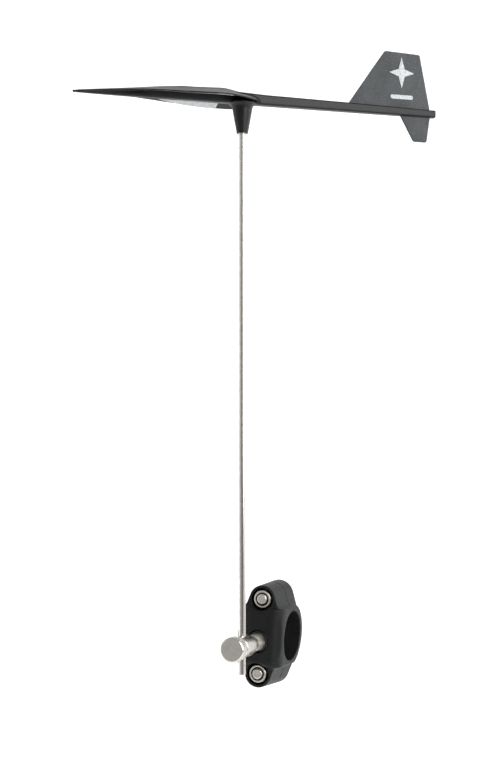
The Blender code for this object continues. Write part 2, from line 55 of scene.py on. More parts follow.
# Tube clamp: x from the tube to the rod, y along the tube, z from bolt to bolt
TUBE_RADIUS = 14.0
CLAMP_TURN = -3.8              # degrees that the clamp stands turned on its stud at rest
BOSS_HALF_WIDTH = 13.3
BOSS_HALF_HEIGHT = 16.5
BOSS_FRONT = 21.0
BOSS_EDGE = 3.5                # radius of the boss's upper and lower front edges
BOSS_SHOULDER = 15.6           # where the boss's flanks start curving in to its flat front
BOSS_FLAT = 3.5                # half the width of that flat
REAR_RADIUS = 18.2
LUG_FRONT = 16.8
LUG_REAR = -12.0
LUG_FRONT_RADIUS = 7.7         # the lugs taper towards their front faces, so that they leave the mould
LUG_REAR_RADIUS = 8.8
LUG_FLARE = math.radians(19.0)  # slope of each lug's flanks, which spread towards the middle
LUG_HALF_WIDTH = 12.9
BOLT_Z = 20.9
BOLT_RADIUS = 3.0
BOLT_HOLE_RADIUS = 3.25
BOLT_HEAD_FLATS = 10.0
BOLT_HEAD_HEIGHT = 4.0
BOLT_HEAD_SINK = 3.0
BOLT_END = 17.7
BOLT_PITCH = 1.0
BOLT_THREAD_DEPTH = 0.3
NUT_FLATS = 10.0
NUT_HEX_HEIGHT = 4.4
NUT_HEIGHT = 6.0
NUT_RECESS_RADIUS = 6.4
NUT_SEAT = 10.7
INSERT_HEIGHT = 1.3            # sets how deep the black ring sits in the nut's counterbore

# Swivel stud, rod holder and thumb screw, along the stud's axis
STUD_Z = -2.4
STUD_RADIUS = 2.5
STUD_HEAD_RADIUS = 4.2
STUD_END = 33.0
STUD_PITCH = 0.8
STUD_THREAD_START = 18.0
STUD_SEAT = 17.0
STUD_SEAT_RADIUS = 6.4
WASHER_RADIUS = 5.9
WASHER_THICKNESS = 2.0
STUD_NUT_FLATS = 8.5
STUD_NUT_LENGTH = 9.4
STUD_NUT_REAR = STUD_SEAT + WASHER_THICKNESS + 0.35
STUD_NUT_FRONT = STUD_NUT_REAR + STUD_NUT_LENGTH
HOLDER_RADIUS = 6.1
HOLDER_NECK_RADIUS = 4.0
HOLDER_REAR = 36.8
HOLDER_FRONT = 50.6
KNOB_RADIUS = 6.8
KNOB_REAR = 52.6
KNOB_FRONT = 59.4
KNOB_TEETH = 48
TOOTH_DEPTH = 0.16
SCREW_RADIUS = 2.5
PAD_FRONT = 3.2                # the pressure pad's front and the screw's tip, ahead of the rod's axis
SCREW_TIP = 3.35

# Rod and bearing: heights above the vane arm's flat underside
ROD_RADIUS = 2.0
ROD_TOP = -4.6
NEEDLE_TIP = -0.7
NEEDLE_RADIUS = 0.6
NEEDLE_DEPTH = 4.0             # how far the needle sits in the rod's top
CLIP_HEIGHT = -11.0
BUSH_TOP = -12.6
CUP_BOTTOM = -2.0
CUP_TOP = 2.2
CUP_RADIUS = 1.9
BUSH_BORE = 2.7                # bore of the hub below the cup, and round it
CUP_BORE = 2.1

# Vane: s ahead of the rod towards the tip, u to port, h above the underside
VANE_TURN = -51.0              # degrees that the vane stands turned about the rod at rest
TIP = 95.1
TAIL = -116.2
FIN_THICKNESS = 1.2
FIN_SLOT = 1.8
SLOT_FRONT = -64.9             # the slot's ends, its floor, and where it breaks through the spine
SLOT_REAR = -113.5
SLOT_FLOOR = 2.35
SLOT_THROUGH = -94.5
SKIN = 1.3
HUB_RADIUS = 3.05
HUB_LOW = -16.5
HUB_TOP = 4.6
PRINT_THICKNESS = 0.15
STICK_GAP = 0.1
SPINE = np.array((             # s, half width, bottom, top of the spine from the tail to the tip
    (TAIL, 2.1, 0.0, 4.2), (-62.9, 2.5, 0.0, 5.15), (-13.0, 2.8, 0.0, 5.8), (0.0, 2.8, 0.0, 6.4),
    (3.0, 2.8, 0.0, 6.5), (6.0, 2.8, 0.0, 7.2), (12.0, 2.7, 0.0, 7.9), (35.0, 2.4, 0.0, 7.2),
    (57.0, 1.9, 0.0, 4.9), (76.5, 1.4, 0.0, 3.0), (TIP, 0.6, 0.15, 1.25),
))
WINGS = np.array((             # s, half width, edge height, ridge height of the drooped wings
    (-9.5, 2.9, 1.4, 4.6), (-6.5, 8.0, 0.7, 5.6), (-3.0, 12.4, 0.15, 6.0), (0.0, 14.2, 0.1, 6.2),
    (3.0, 15.7, 0.2, 6.5), (6.0, 16.8, 0.4, 7.65), (9.0, 17.3, 0.5, 8.4), (12.0, 17.6, 0.65, 8.56),
    (19.0, 17.5, 0.85, 8.25), (27.0, 16.2, 0.9, 7.95), (34.0, 14.6, 1.05, 7.95), (46.0, 12.3, 1.45, 6.95),
    (57.0, 9.9, 1.75, 5.65), (68.0, 7.1, 1.65, 4.25), (80.0, 4.2, 1.25, 2.85), (92.0, 1.1, 0.6, 1.55),
))
FIN_OUTLINE = (
    (-62.9, 5.0), (-79.4, 28.5), (-85.4, 36.8), (-106.9, 36.0), (-113.0, 4.7), (-113.2, 0.0),
    (-111.0, -14.5), (-102.8, -14.4), (-94.8, 0.0), (-94.8, 2.6), (-64.6, 2.6),
)
STAR_CENTRE = (-95.5, 24.7)
STAR_RADIUS = 9.0
STAR_WAIST = 0.34              # inner radius as a share of the outer one
STAR_SQUEEZE = 0.86
BAR_CENTRE = (-95.5, 10.7)
BAR_SIZE = (14.0, 2.4)
TAPE_NOSE = 57.0
TAPE_REAR = 10.5
WEIGHT_SPAN = (38.0, 82.0)
WEIGHT_HEIGHT = 2.0
WEIGHT_HALF_WIDTH = 0.65
HUB_PROFILE = np.array((         # height, radius: a tapered sleeve that flares into the wings
    (HUB_LOW, HUB_RADIUS), (-5.1, 5.1), (-2.4, 5.55), (-1.3, 5.9), (-0.5, 6.6), (0.1, 7.6), (0.6, 7.6),
    (HUB_TOP, 3.5),
))

# Grids that the moulded pieces are drawn on
CLAMP_CELL = (0.34,) * 3
HOLDER_CELL = (0.19,) * 3
ARM_CELL = (0.5, 0.33, 0.33)

# Camera: its bearing from +X, its tilt, and its place from the rod's axis at the tube's height
CAMERA_ROUND = math.radians(21.0)
CAMERA_TILT = math.radians(2.44)
CAMERA_DISTANCE = 836.0
CAMERA_ASIDE = 4.25
CAMERA_HEIGHT = 106.8
ROD_Y = -0.16
CAMERA_LENS = 72.05
SENSOR_WIDTH = 36.0

# Room, in metres
FLOOR = -0.42
WALL = 2.2                     # the wall's distance behind the object, and the floor's reach in front
FLOOR_REACH = 0.7
SWEEP_BEND = 0.9
WALL_HEIGHT = 4.5
HALF_SWEEP = 4.0
LIGHT_AIM = (0.02, 0.0, 0.15)


# ---------------------------------------------------------------- where each group of pieces stands
def middle(node):
    """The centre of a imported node's box, in millimetres."""
    low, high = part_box(node)
    return (np.array(low) + np.array(high)) / (2.0 * MM)


def turned_by(degrees, axis):
    return np.array(Matrix.Rotation(math.radians(degrees), 3, axis))


stud_centre = middle("swivel_stud")
rod_centre = middle("rod")
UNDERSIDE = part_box("rod")[1][2] / MM - ROD_TOP
ROD_X = rod_centre[0]
LEVEL = np.eye(3)
AXES = {                       # name: (rotation, origin) of the frame that a piece is drawn in
    "clamp": (turned_by(CLAMP_TURN, "X"), np.zeros(3)),
    "stud": (LEVEL, np.array((0.0, stud_centre[1], stud_centre[2]))),
    "rod": (LEVEL, np.array((rod_centre[0], rod_centre[1], UNDERSIDE))),
    "vane": (turned_by(VANE_TURN, "Z"), np.array((rod_centre[0], rod_centre[1], UNDERSIDE))),
}


# ---------------------------------------------------------------- camera, light and room
def look_from():
    """The camera stands 21 degrees round from +X, 0.84 m from the rod, tipped 2.4 degrees up."""
    toward = Vector((math.cos(CAMERA_ROUND), math.sin(CAMERA_ROUND), 0.0))
    right = Vector((-math.sin(CAMERA_ROUND), math.cos(CAMERA_ROUND), 0.0))
    up = Vector((0.0, 0.0, 1.0))
    data = bpy.data.cameras.new("camera")
    data.lens = CAMERA_LENS
    data.sensor_width = SENSOR_WIDTH
    data.clip_start = 0.02
    data.clip_end = 20.0
    camera = bpy.data.objects.new("camera", data)
    start = Vector((ROD_X, ROD_Y, 0.0))
    camera.location = (start + CAMERA_DISTANCE * toward + CAMERA_ASIDE * right + CAMERA_HEIGHT * up) * MM
    ahead = -toward * math.cos(CAMERA_TILT) + up * math.sin(CAMERA_TILT)
    camera.rotation_mode = "QUATERNION"
    camera.rotation_quaternion = ahead.to_track_quat("-Z", "Y")
    bpy.context.scene.collection.objects.link(camera)
    bpy.context.scene.camera = camera


def linear(code):
    """An sRGB hex colour as linear RGBA."""
    shades = [int(code[i:i + 2], 16) / 255.0 for i in (1, 3, 5)]
    return tuple(c / 12.92 if c <= 0.04045 else ((c + 0.055) / 1.055) ** 2.4 for c in shades) + (1.0,)


def add(tree, kind, sockets=None, **settings):
    """Add a shader node. Settings are its properties; sockets gives each input a value or a link."""
    item = tree.nodes.new("ShaderNode" + kind)
    for key, value in settings.items():
        setattr(item, key, value)
    for key, value in (sockets or {}).items():
        if isinstance(value, bpy.types.NodeSocket):
            tree.links.new(value, item.inputs[key])
        else:
            item.inputs[key].default_value = value
    return item


def softbox(name, place, size, power):
    """A rectangular studio light that faces the object."""
    data = bpy.data.lights.new(name, "AREA")
    data.shape = "RECTANGLE"
    data.size, data.size_y = size
    data.energy = power
    lamp = bpy.data.objects.new(name, data)
    lamp.location = place
    lamp.rotation_mode = "QUATERNION"
    lamp.rotation_quaternion = (Vector(LIGHT_AIM) - Vector(place)).to_track_quat("-Z", "Y")
    bpy.context.scene.collection.objects.link(lamp)


def light_room():
    """A pale sky, dark only behind the camera, with a key on the right and two dimmer softboxes."""
    world = bpy.data.worlds.new("studio")
    bpy.context.scene.world = world
    world.use_nodes = True
    tree = world.node_tree
    direction = add(tree, "TexCoord").outputs["Generated"]
    behind_camera = (math.cos(CAMERA_ROUND), math.sin(CAMERA_ROUND), 0.0)
    facing = add(tree, "VectorMath", {0: direction, 1: behind_camera},
                 operation="DOT_PRODUCT").outputs["Value"]
    shade = add(tree, "MapRange", {"Value": facing, "From Min": 0.883, "From Max": 0.966, "To Min": 0.55,
                                   "To Max": 0.10}, interpolation_type="SMOOTHSTEP").outputs["Result"]
    back = tree.nodes["Background"]
    back.inputs["Color"].default_value = linear("#FFFFFF")
    tree.links.new(shade, back.inputs["Strength"])
    softbox("key_light", (0.62, 1.15, 0.60), (0.8, 1.2), 17.0)
    softbox("side_light", (-0.75, 1.15, 0.40), (0.9, 1.1), 8.0)
    softbox("fill_light", (0.45, -1.1, 0.35), (0.35, 1.2), 2.2)


def build_room():
    """A floor that curves up into a wall behind the object, in matt white paint.

    Along the sweep the height is 0 on the floor, then a quarter circle, then straight up.
    """
    quarter = np.linspace(0.0, math.pi / 2.0, 25)
    along = np.concatenate([[-FLOOR_REACH], WALL - SWEEP_BEND + SWEEP_BEND * np.sin(quarter), [WALL]])
    up = np.concatenate([[0.0], SWEEP_BEND * (1.0 - np.cos(quarter)), [WALL_HEIGHT]]) + FLOOR
    away = np.array((-math.cos(CAMERA_ROUND), -math.sin(CAMERA_ROUND)))
    side = np.array((-math.sin(CAMERA_ROUND), math.cos(CAMERA_ROUND)))
    across = np.linspace(-HALF_SWEEP, HALF_SWEEP, 9)
    flat = along[:, None, None] * away + across[None, :, None] * side
    grid = np.concatenate([flat, np.broadcast_to(up[:, None, None], flat.shape[:2] + (1,))], axis=2)
    rows, columns = grid.shape[:2]
    index = np.arange(rows * columns).reshape(rows, columns)
    faces = np.stack([index[:-1, :-1], index[:-1, 1:], index[1:, 1:], index[1:, :-1]], -1).reshape(-1, 4)
    mesh = bpy.data.meshes.new("studio_sweep")
    mesh.from_pydata(grid.reshape(-1, 3).tolist(), [], faces.tolist())
    mesh.shade_smooth()
    paint = bpy.data.materials.new("matt white paint")
    paint.use_nodes = True
    tree = paint.node_tree
    shader = tree.nodes["Principled BSDF"]
    shader.inputs["Roughness"].default_value = 0.9
    shader.inputs["Specular IOR Level"].default_value = 0.0
    shader.inputs["Emission Color"].default_value = linear("#FFFFFF")
    shader.inputs["Emission Strength"].default_value = 0.45
    spread = add(tree, "TexNoise", {"Vector": add(tree, "TexCoord").outputs["Object"], "Scale": 2.0})
    tint = add(tree, "ValToRGB", {"Fac": spread.outputs["Fac"]})
    tint.color_ramp.elements[0].color = linear("#F4F4F4")
    tint.color_ramp.elements[1].color = linear("#FAFAFA")
    tree.links.new(tint.outputs["Color"], shader.inputs["Base Color"])
    mesh.materials.append(paint)
    sweep = bpy.data.objects.new("studio_sweep", mesh)
    bpy.context.scene.collection.objects.link(sweep)


# ---------------------------------------------------------------- surfaces
def make(name, shape, axes, at, finish, body, nodes, sharp=32.0):
    """Turn (points, faces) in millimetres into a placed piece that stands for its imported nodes."""
    points, faces = shape
    rotation, origin = AXES[axes]
    world = ((points + np.array(at)) @ rotation.T + origin) * MM
    mesh = bpy.data.meshes.new(name)
    mesh.from_pydata(world.tolist(), [], faces)
    outward = bmesh.new()
    outward.from_mesh(mesh)
    bmesh.ops.recalc_face_normals(outward, faces=outward.faces)
    outward.to_mesh(mesh)
    outward.free()
    mesh.shade_smooth()
    mesh.set_sharp_from_angle(angle=math.radians(sharp))
    mesh.materials.append(finish)
    item = bpy.data.objects.new(name, mesh)
    bpy.context.scene.collection.objects.link(item)
    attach(item, body)
    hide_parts(*nodes)


def soften(outline, radius, closed=False, steps=5):
    """Round an outline's corners: a quadratic curve (1-t)^2 a + 2t(1-t) corner + t^2 b replaces each.

    a and b lie `radius` before and after the corner, or at most 0.45 of the side's length.
    """
    points = np.array(outline, float)
    before, after = np.roll(points, 1, axis=0), np.roll(points, -1, axis=0)
    t = np.linspace(0.0, 1.0, steps + 1)[:, None]
    curves = []
    for corner, one, two in zip(points, before, after):
        lengths = np.linalg.norm(one - corner), np.linalg.norm(two - corner)
        reach = min(radius, 0.45 * lengths[0], 0.45 * lengths[1])
        a = corner + (one - corner) * reach / lengths[0]
        b = corner + (two - corner) * reach / lengths[1]
        curves.append((1.0 - t) ** 2 * a + 2.0 * t * (1.0 - t) * corner + t ** 2 * b)
    if not closed:
        curves[0], curves[-1] = points[:1], points[-1:]
    return np.vstack(curves)


def skin(grid, closed=False, flat_ends=False):
    """Quads over a grid of rows whose columns wrap round.

    A closed grid's last row joins its first. Otherwise each end is closed, by a fan to its middle
    or by one flat face.
    """
    rows, columns = grid.shape[:2]
    points = grid.reshape(-1, 3)
    index = np.arange(rows * columns).reshape(rows, columns)
    ring = np.vstack([index, index[:1]]) if closed else index
    beside = np.roll(ring, -1, axis=1)
    faces = np.stack([ring[:-1], beside[:-1], beside[1:], ring[1:]], -1).reshape(-1, 4).tolist()
    if closed:
        return points, faces
    if flat_ends:
        return points, faces + [index[0][::-1].tolist(), index[-1].tolist()]
    poles = np.array([grid[0].mean(axis=0), grid[-1].mean(axis=0)])
    first, last = len(points), len(points) + 1
    low = np.stack([beside[0], index[0], np.full(columns, first)], -1)
    high = np.stack([index[-1], beside[-1], np.full(columns, last)], -1)
    return np.vstack([points, poles]), faces + low.tolist() + high.tolist()


def lathe(profile, axis="X", columns=72, rim=None, closed=False):
    """Turn a profile of (along, radius) once about an axis.

    A point is (along, r cos a, r sin a) for axis X or (r cos a, r sin a, along) for axis Z. rim, when
    given, works out r from along, the profile's radius and the angle a.
    """
    along, radius = np.array(profile, float).T
    angle = np.arange(columns) * 2.0 * math.pi / columns
    along = np.broadcast_to(along[:, None], (len(along), columns))
    r = np.broadcast_to(radius[:, None], along.shape)
    angle = np.broadcast_to(angle[None, :], along.shape)
    if rim is not None:
        r = rim(along, r, angle)
    one, two = r * np.cos(angle), r * np.sin(angle)
    return skin(np.stack((along, one, two) if axis == "X" else (one, two, along), -1), closed)


def ridged(profile, step):
    """Add points along a profile so that no two are further apart than step."""
    parts = []
    for a, b in zip(profile, profile[1:]):
        count = max(1, int(math.ceil(np.linalg.norm(b - a) / step)))
        parts.append(a + (b - a) * (np.arange(count) / count)[:, None])
    return np.vstack(parts + [profile[-1:]])


def hexed(flats, turn=0.0, rounding=0.25):
    """Limit a turned blank to a hexagon: r = min(r, flats/2 / cos(angle from the nearest flat))."""
    def rim(along, r, angle):
        off = np.mod(angle - math.radians(turn), math.pi / 3.0) - math.pi / 6.0
        return np.minimum(r, np.minimum(flats / 2.0 / np.cos(off), flats / math.sqrt(3.0) - rounding))
    return rim


def threaded(pitch, depth, start, end, flats=None):
    """Cut a helical V groove: r - depth * |2 phase - 1| where phase = along / pitch - angle / 2 pi."""
    def rim(along, r, angle):
        phase = np.mod(along / pitch - angle / (2.0 * math.pi), 1.0)
        fade = np.clip((along - start) / pitch, 0.0, 1.0) * (along < end)
        cut = r - depth * np.abs(2.0 * phase - 1.0) * fade * (r > 1.0)
        return cut if flats is None else hexed(flats)(along, cut, angle)
    return rim


def plate(outline, low, high, edge):
    """Carry an outline of (x, z) through a plate's thickness along y.

    Each rim is a quarter circle: the outline steps in by edge (1 - sin q) while y rises by
    edge (1 - cos q), q from 0 to 90 degrees.
    """
    points = np.array(outline, float)
    along = np.roll(points, -1, axis=0) - np.roll(points, 1, axis=0)
    along /= np.linalg.norm(along, axis=1)[:, None]
    inward = np.stack([-along[:, 1], along[:, 0]], -1)
    area = np.sum(points[:, 0] * np.roll(points[:, 1], -1) - points[:, 1] * np.roll(points[:, 0], -1))
    inward *= np.sign(area)
    q = np.linspace(0.0, math.pi / 2.0, 5)
    inset = np.concatenate([edge * (1.0 - np.sin(q)), edge * (1.0 - np.sin(q))[::-1]])
    depth = np.concatenate([low + edge * (1.0 - np.cos(q)), (high - edge * (1.0 - np.cos(q)))[::-1]])
    flat = points[None] + inward[None] * inset[:, None, None]
    grid = np.stack([flat[..., 0], np.broadcast_to(depth[:, None], flat.shape[:2]), flat[..., 1]], -1)
    return skin(grid, flat_ends=True)


def both(a, b, r):
    """The space inside both a and b (distances, negative inside), its edge rounded to radius r."""
    outside = np.hypot(np.maximum(a + r, 0.0), np.maximum(b + r, 0.0))
    return np.minimum(-r, np.maximum(a, b)) + outside


def either(a, b, r):
    """The space inside a or b, with a fillet of radius r where they meet."""
    return np.maximum(r, np.minimum(a, b)) - np.hypot(np.maximum(r - a, 0.0), np.maximum(r - b, 0.0))


def without(a, b, r):
    """The space inside a and outside b, its edge rounded to radius r."""
    return both(a, -b, r)


def moulded(field, low, high, step):
    """A closed surface where field(x, y, z), a distance in millimetres, is zero.

    The field is worked out on a grid. Each cell that the surface passes through gets one point, the
    mean of the places where the surface crosses the cell's edges, and each crossed edge gets one quad
    between its four cells. The points then move onto the surface: p - f grad f / |grad f|^2.
    """
    step = np.array(step, float)
    origin = np.array(low, float) - 1.5 * step
    counts = np.ceil((np.array(high) - origin) / step).astype(int) + 2
    axes = [origin[k] + step[k] * np.arange(counts[k]) for k in range(3)]
    value = field(*np.meshgrid(*axes, indexing="ij", sparse=True))
    inside = value < 0.0
    cells, crossings, quads = [], [], []
    for a in range(3):
        b, c = (a + 1) % 3, (a + 2) % 3
        near = tuple(slice(0, -1) if k == a else slice(None) for k in range(3))
        far = tuple(slice(1, None) if k == a else slice(None) for k in range(3))
        edge = np.argwhere(inside[near] != inside[far])
        start = value[near][tuple(edge.T)]
        finish = value[far][tuple(edge.T)]
        point = origin + edge * step
        point[:, a] += step[a] * start / (start - finish)
        corners = []
        for shift_b, shift_c in ((0, 0), (-1, 0), (-1, -1), (0, -1)):
            cell = edge.copy()
            cell[:, b] += shift_b
            cell[:, c] += shift_c
            corners.append(np.ravel_multi_index(tuple(cell.T), tuple(counts)))
            cells.append(corners[-1])
            crossings.append(point)
        quad = np.stack(corners, -1)
        quads.append(np.where((start < 0.0)[:, None], quad, quad[:, ::-1]))
    keys, order = np.unique(np.concatenate(cells), return_inverse=True)
    crossings = np.vstack(crossings)
    share = np.bincount(order)
    points = np.stack([np.bincount(order, crossings[:, k]) / share for k in range(3)], -1)
    faces = np.searchsorted(keys, np.vstack(quads))
    nudge = 0.02
    for _ in range(2):
        here = field(*points.T)
        slope = np.stack([(field(*(points + nudge * np.eye(3)[k]).T) - here) / nudge for k in range(3)], -1)
        shift = -here[:, None] * slope / np.maximum((slope ** 2).sum(axis=1), 0.25)[:, None]
        points = points + np.clip(shift, -0.5 * step, 0.5 * step)
    return points, faces.tolist()


# ---------------------------------------------------------------- finishes
def begin(name, metallic, base):
    """A new finish with its shader and its place in Object coordinates, in metres."""
    finish = bpy.data.materials.new(name)
    finish.use_nodes = True
    tree = finish.node_tree
    shader = tree.nodes["Principled BSDF"]
    shader.inputs["Metallic"].default_value = metallic
    shader.inputs["Base Color"].default_value = linear(base)
    return finish, tree, shader, add(tree, "TexCoord").outputs["Object"]


def moulded_plastic(name, deep, pale, grain, depth, rough, gloss=0.5, fleck=0.0):
    """A plastic with a fine grain, slow colour drift, rubbed edges and, where asked for, pale flecks."""
    finish, tree, shader, place = begin(name, 0.0, deep)
    fine = add(tree, "TexNoise", {"Vector": place, "Scale": 1.0 / (grain * MM), "Detail": 3.0,
                                  "Roughness": 0.6}).outputs["Fac"]
    drift = add(tree, "TexNoise", {"Vector": place, "Scale": 1.0 / (9.0 * MM), "Detail": 2.0}).outputs["Fac"]
    mixed = add(tree, "Math", {0: drift, 1: 0.45, 2: 0.0}, operation="MULTIPLY_ADD").outputs[0]
    mixed = add(tree, "Math", {0: fine, 1: 0.55, 2: mixed}, operation="MULTIPLY_ADD").outputs[0]
    tint = add(tree, "ValToRGB", {"Fac": mixed})
    tint.color_ramp.elements[0].position = 0.32
    tint.color_ramp.elements[1].position = 0.68
    tint.color_ramp.elements[0].color = linear(deep)
    tint.color_ramp.elements[1].color = linear(pale)
    colour = tint.outputs["Color"]
    edges = add(tree, "NewGeometry").outputs["Pointiness"]
    rubbed = add(tree, "MapRange", {"Value": edges, "From Min": 0.53, "From Max": 0.60, "To Min": 0.0,
                                    "To Max": 0.35}).outputs["Result"]
    colour = add(tree, "Mix", {"Factor": rubbed, 6: colour, 7: linear("#3F4142")},
                 data_type="RGBA").outputs[2]
    if fleck > 0.0:
        specks = add(tree, "TexVoronoi", {"Vector": place, "Scale": 1.0 / (1.3 * MM)}).outputs["Distance"]
        lit = add(tree, "MapRange", {"Value": specks, "From Min": 0.10, "From Max": 0.28, "To Min": fleck,
                                     "To Max": 0.0}).outputs["Result"]
        colour = add(tree, "Mix", {"Factor": lit, 6: colour, 7: linear("#8C8F90")},
                     data_type="RGBA").outputs[2]
    tree.links.new(colour, shader.inputs["Base Color"])
    haze = add(tree, "MapRange", {"Value": fine, "From Min": 0.3, "From Max": 0.7, "To Min": rough - 0.08,
                                  "To Max": rough + 0.08}).outputs["Result"]
    tree.links.new(haze, shader.inputs["Roughness"])
    relief = add(tree, "Bump", {"Height": fine, "Strength": 0.6, "Distance": depth * MM}).outputs["Normal"]
    tree.links.new(relief, shader.inputs["Normal"])
    shader.inputs["IOR"].default_value = 1.5
    shader.inputs["Specular IOR Level"].default_value = gloss
    return finish


def turned_steel(name, base, axes, at, mark, depth, rough):
    """Steel with lathe marks: noise over (distance from the axis, place along it), one line per mark mm."""
    finish, tree, shader, place = begin(name, 1.0, base)
    centre = AXES[axes][0] @ np.array(at, float) + AXES[axes][1]
    local = add(tree, "Mapping", {"Vector": place, "Location": tuple(-centre * MM)}).outputs["Vector"]
    parts = add(tree, "SeparateXYZ", {"Vector": local}).outputs
    off_axis = add(tree, "CombineXYZ", {"Y": parts["Y"], "Z": parts["Z"]}).outputs["Vector"]
    radius = add(tree, "VectorMath", {0: off_axis}, operation="LENGTH").outputs["Value"]
    lines = add(tree, "CombineXYZ", {"X": radius, "Y": parts["X"]}).outputs["Vector"]
    marks = add(tree, "TexNoise", {"Vector": lines, "Scale": 1.0 / (mark * MM), "Detail": 3.0,
                                   "Roughness": 0.65}).outputs["Fac"]
    return steel_surface(finish, tree, shader, place, marks, base, depth, rough)


def tumbled_steel(label, axes, at, rough):
    """The steel of one fastener, ringed about its own axis."""
    return turned_steel("stainless steel, tumbled " + label, "#D6D2CB", axes, at, 0.8, 0.006, rough)


def ground_steel(name, base, mark, depth, rough):
    """Steel bar from centreless grinding: faint lines round the bar, one about every mark mm along Z."""
    finish, tree, shader, place = begin(name, 1.0, base)
    stretched = add(tree, "Mapping", {"Vector": place, "Scale": (0.06, 0.06, 1.0)}).outputs["Vector"]
    marks = add(tree, "TexNoise", {"Vector": stretched, "Scale": 1.0 / (mark * MM), "Detail": 4.0,
                                   "Roughness": 0.6}).outputs["Fac"]
    return steel_surface(finish, tree, shader, place, marks, base, depth, rough)


def steel_surface(finish, tree, shader, place, marks, base, depth, rough):
    """Colour, gloss and relief of a steel whose cutting marks are given as a height from 0 to 1."""
    stain = add(tree, "TexNoise", {"Vector": place, "Scale": 1.0 / (3.5 * MM), "Detail": 4.0}).outputs["Fac"]
    share = add(tree, "Math", {0: stain, 1: 0.6, 2: 0.0}, operation="MULTIPLY_ADD").outputs[0]
    share = add(tree, "Math", {0: marks, 1: 0.4, 2: share}, operation="MULTIPLY_ADD").outputs[0]
    tint = add(tree, "ValToRGB", {"Fac": share})
    red, green, blue, _ = linear(base)
    tint.color_ramp.elements[0].position = 0.35
    tint.color_ramp.elements[1].position = 0.65
    tint.color_ramp.elements[0].color = (red * 0.80, green * 0.79, blue * 0.77, 1.0)
    tint.color_ramp.elements[1].color = (red, green, blue, 1.0)
    tree.links.new(tint.outputs["Color"], shader.inputs["Base Color"])
    gloss = add(tree, "MapRange", {"Value": share, "From Min": 0.3, "From Max": 0.7, "To Min": rough * 1.35,
                                   "To Max": rough * 0.75}).outputs["Result"]
    tree.links.new(gloss, shader.inputs["Roughness"])
    relief = add(tree, "Bump", {"Height": marks, "Strength": 0.8, "Distance": depth * MM}).outputs["Normal"]
    tree.links.new(relief, shader.inputs["Normal"])
    return finish


def printed(name, base, worn, grain, rough):
    """A thin layer of ink on the plastic, with a slight mottle and tiny pits."""
    finish, tree, shader, place = begin(name, 0.0, base)
    mottle = add(tree, "TexNoise", {"Vector": place, "Scale": 1.0 / (grain * MM),
                                    "Detail": 4.0}).outputs["Fac"]
    tint = add(tree, "ValToRGB", {"Fac": mottle})
    tint.color_ramp.elements[0].position = 0.30
    tint.color_ramp.elements[1].position = 0.62
    tint.color_ramp.elements[0].color = linear(worn)
    tint.color_ramp.elements[1].color = linear(base)
    tree.links.new(tint.outputs["Color"], shader.inputs["Base Color"])
    haze = add(tree, "MapRange", {"Value": mottle, "To Min": rough + 0.1, "To Max": rough - 0.1})
    tree.links.new(haze.outputs["Result"], shader.inputs["Roughness"])
    relief = add(tree, "Bump", {"Height": mottle, "Strength": 0.5, "Distance": 0.03 * MM}).outputs["Normal"]
    tree.links.new(relief, shader.inputs["Normal"])
    return finish


def beaded_film(name, base, shade):
    """Retroreflective film: a silver ground under glass beads, drawn 0.8 mm apart so that they show."""
    finish, tree, shader, place = begin(name, 0.25, base)
    beads = add(tree, "TexVoronoi", {"Vector": place, "Scale": 1.0 / (0.8 * MM)}).outputs["Distance"]
    tint = add(tree, "ValToRGB", {"Fac": beads})
    tint.color_ramp.elements[0].color = linear(base)
    tint.color_ramp.elements[1].color = linear(shade)
    tint.color_ramp.elements[1].position = 0.75
    tree.links.new(tint.outputs["Color"], shader.inputs["Base Color"])
    haze = add(tree, "MapRange", {"Value": beads, "To Min": 0.30, "To Max": 0.55}).outputs["Result"]
    tree.links.new(haze, shader.inputs["Roughness"])
    relief = add(tree, "Bump", {"Height": beads, "Strength": 0.4, "Distance": 0.03 * MM}, invert=True)
    tree.links.new(relief.outputs["Normal"], shader.inputs["Normal"])
    shader.inputs["Coat Weight"].default_value = 0.4
    shader.inputs["Coat Roughness"].default_value = 0.15
    return finish


# Glass-filled nylon, moulded in a blasted tool: nearly black and dull, with pale fibre flecks
clamp_nylon = moulded_plastic("glass-filled nylon, moulded", "#0B0C0C", "#131514",
                              grain=0.9, depth=0.05, rough=0.50, gloss=0.22, fleck=0.04)
# ABS, moulded with a light satin grain: black, a little glossier than the clamp
vane_plastic = moulded_plastic("satin ABS, moulded", "#0B0C0D", "#151617",
                               grain=0.8, depth=0.035, rough=0.40, gloss=0.27)
# Polypropylene sheet with a spark-eroded grain: dark grey, sparkling with pale specks
fin_plastic = moulded_plastic("grained polypropylene, moulded", "#232627", "#414548",
                              grain=1.1, depth=0.12, rough=0.52, gloss=0.35, fleck=0.25)
# Acetal, turned, for the washer and the nuts' rings: deep black with a soft gloss. The rings' black is
# painted shade for the hollow inside each nut's collar; the washer's black is partly its own colour and
# partly painted shade round the stud's nut
acetal_black_and_shade = moulded_plastic("acetal, black and painted shade, turned", "#0B0B0B", "#131313",
                               grain=0.7, depth=0.02, rough=0.38)
# Natural nylon 6.6: milky, slightly yellow
white_nylon = moulded_plastic("natural nylon, turned", "#CFC9B8", "#DDD8CA",
                              grain=0.8, depth=0.02, rough=0.40)
# Stainless steel bar, centreless ground: bright bands along it, with faint rings
rod_steel = ground_steel("stainless steel, ground", "#DAD7D2", mark=0.6, depth=0.0015, rough=0.17)
# Stainless steel turned on a lathe: rings on faces, lines round the barrel
turned_stainless = turned_steel("stainless steel, turned", "#CFCBC4", "stud", HERE,
                                mark=0.5, depth=0.006, rough=0.25)
# Stainless fasteners, tumbled: a softer gloss and faint rings about each bolt
upper_fastener = tumbled_steel("upper", "clamp", (0.0, 0.0, BOLT_Z), rough=0.27)
lower_fastener = tumbled_steel("lower", "clamp", (0.0, 0.0, -BOLT_Z), rough=0.27)
